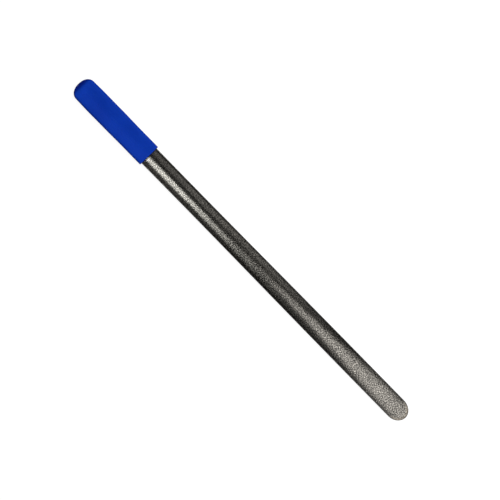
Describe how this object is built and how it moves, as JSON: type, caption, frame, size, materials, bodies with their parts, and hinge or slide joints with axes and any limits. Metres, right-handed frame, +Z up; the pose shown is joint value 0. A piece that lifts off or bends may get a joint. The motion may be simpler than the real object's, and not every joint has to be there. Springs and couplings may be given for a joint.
{
  "type": "long-handled shoehorn",
  "caption": "Long-handled shoehorn: a rolled strip blade that opens from a channel to a nearly flat, rounded tip, with a closed-end slip-on hand grip.",
  "frame": {"origin": "on the table, under the middle of the overall length, on the centre line", "axes": "+X along the shoehorn from the closed end of the grip to the tip, +Y across it, +Z up out of the hollow side"},
  "size_m": [0.61, 0.0334, 0.0121],
  "materials": {
    "hammertone": "satin",
    "vinyl": "satin"
  },
  "bodies": {
    "root": {"blade": "hammertone", "grip": "vinyl"}
  },
  "joints": []
}
